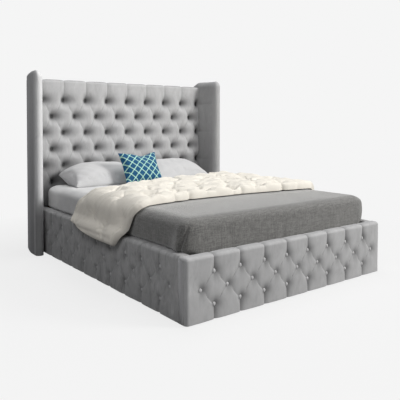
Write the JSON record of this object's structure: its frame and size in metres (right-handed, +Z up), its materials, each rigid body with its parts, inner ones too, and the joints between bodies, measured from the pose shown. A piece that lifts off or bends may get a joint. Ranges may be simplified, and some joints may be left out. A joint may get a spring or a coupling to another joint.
{
  "type": "wingback bed",
  "caption": "Upholstered wingback bed with a deep-buttoned headboard, buttoned rails and footboard, slatted base, mattress and made-up bedding.",
  "frame": {"origin": "on the floor, under the middle of the bed's outer box", "axes": "+Y from the foot to the headboard, +X to the right seen from the foot, +Z up"},
  "size_m": [1.8946, 2.2, 1.48],
  "materials": {
    "velvet": "matte",
    "button_velvet": "matte",
    "back_cloth": "matte",
    "frame_timber": "matte",
    "panel_board": "matte",
    "slat_beech": "satin",
    "cap_plastic": "matte",
    "bracket_steel": "satin",
    "glide_felt": "matte",
    "mattress_ticking": "matte",
    "white_cotton": "matte",
    "grey_blanket": "matte",
    "cream_comforter": "matte",
    "blue_weave": "matte"
  },
  "bodies": {
    "root": {"headboard_padding": "velvet", "footboard_padding": "velvet", "left_rail_padding": "velvet", "right_rail_padding": "velvet", "left_wing_padding": "velvet", "right_wing_padding": "velvet", "headboard_buttons": "button_velvet", "footboard_buttons": "button_velvet", "left_rail_buttons": "button_velvet", "right_rail_buttons": "button_velvet", "headboard_back_cover": "back_cloth", "headboard_left_post": "frame_timber", "headboard_right_post": "frame_timber", "headboard_top_rail": "frame_timber", "headboard_middle_rail": "frame_timber", "headboard_lower_rail": "frame_timber", "headboard_upper_stile": "frame_timber", "headboard_lower_stile": "frame_timber", "left_wing_batten": "frame_timber", "right_wing_batten": "frame_timber", "left_ledger": "frame_timber", "right_ledger": "frame_timber", "centre_beam": "frame_timber", "centre_leg_front": "frame_timber", "centre_leg_middle": "frame_timber", "centre_leg_rear": "frame_timber", "headboard_panel": "panel_board", "left_wing_core": "panel_board", "right_wing_core": "panel_board", "left_rail_core": "panel_board", "right_rail_core": "panel_board", "footboard_core": "panel_board", "left_slats": "slat_beech", "right_slats": "slat_beech", "left_slat_caps": "cap_plastic", "right_slat_caps": "cap_plastic", "centre_slat_caps": "cap_plastic", "corner_brackets": "bracket_steel", "beam_hangers": "bracket_steel", "floor_glides": "glide_felt", "mattress": "mattress_ticking", "fitted_sheet": "white_cotton", "flat_sheet": "white_cotton", "left_pillow": "white_cotton", "right_pillow": "white_cotton", "blanket": "grey_blanket", "comforter": "cream_comforter", "throw_cushion": "blue_weave"}
  },
  "joints": []
}
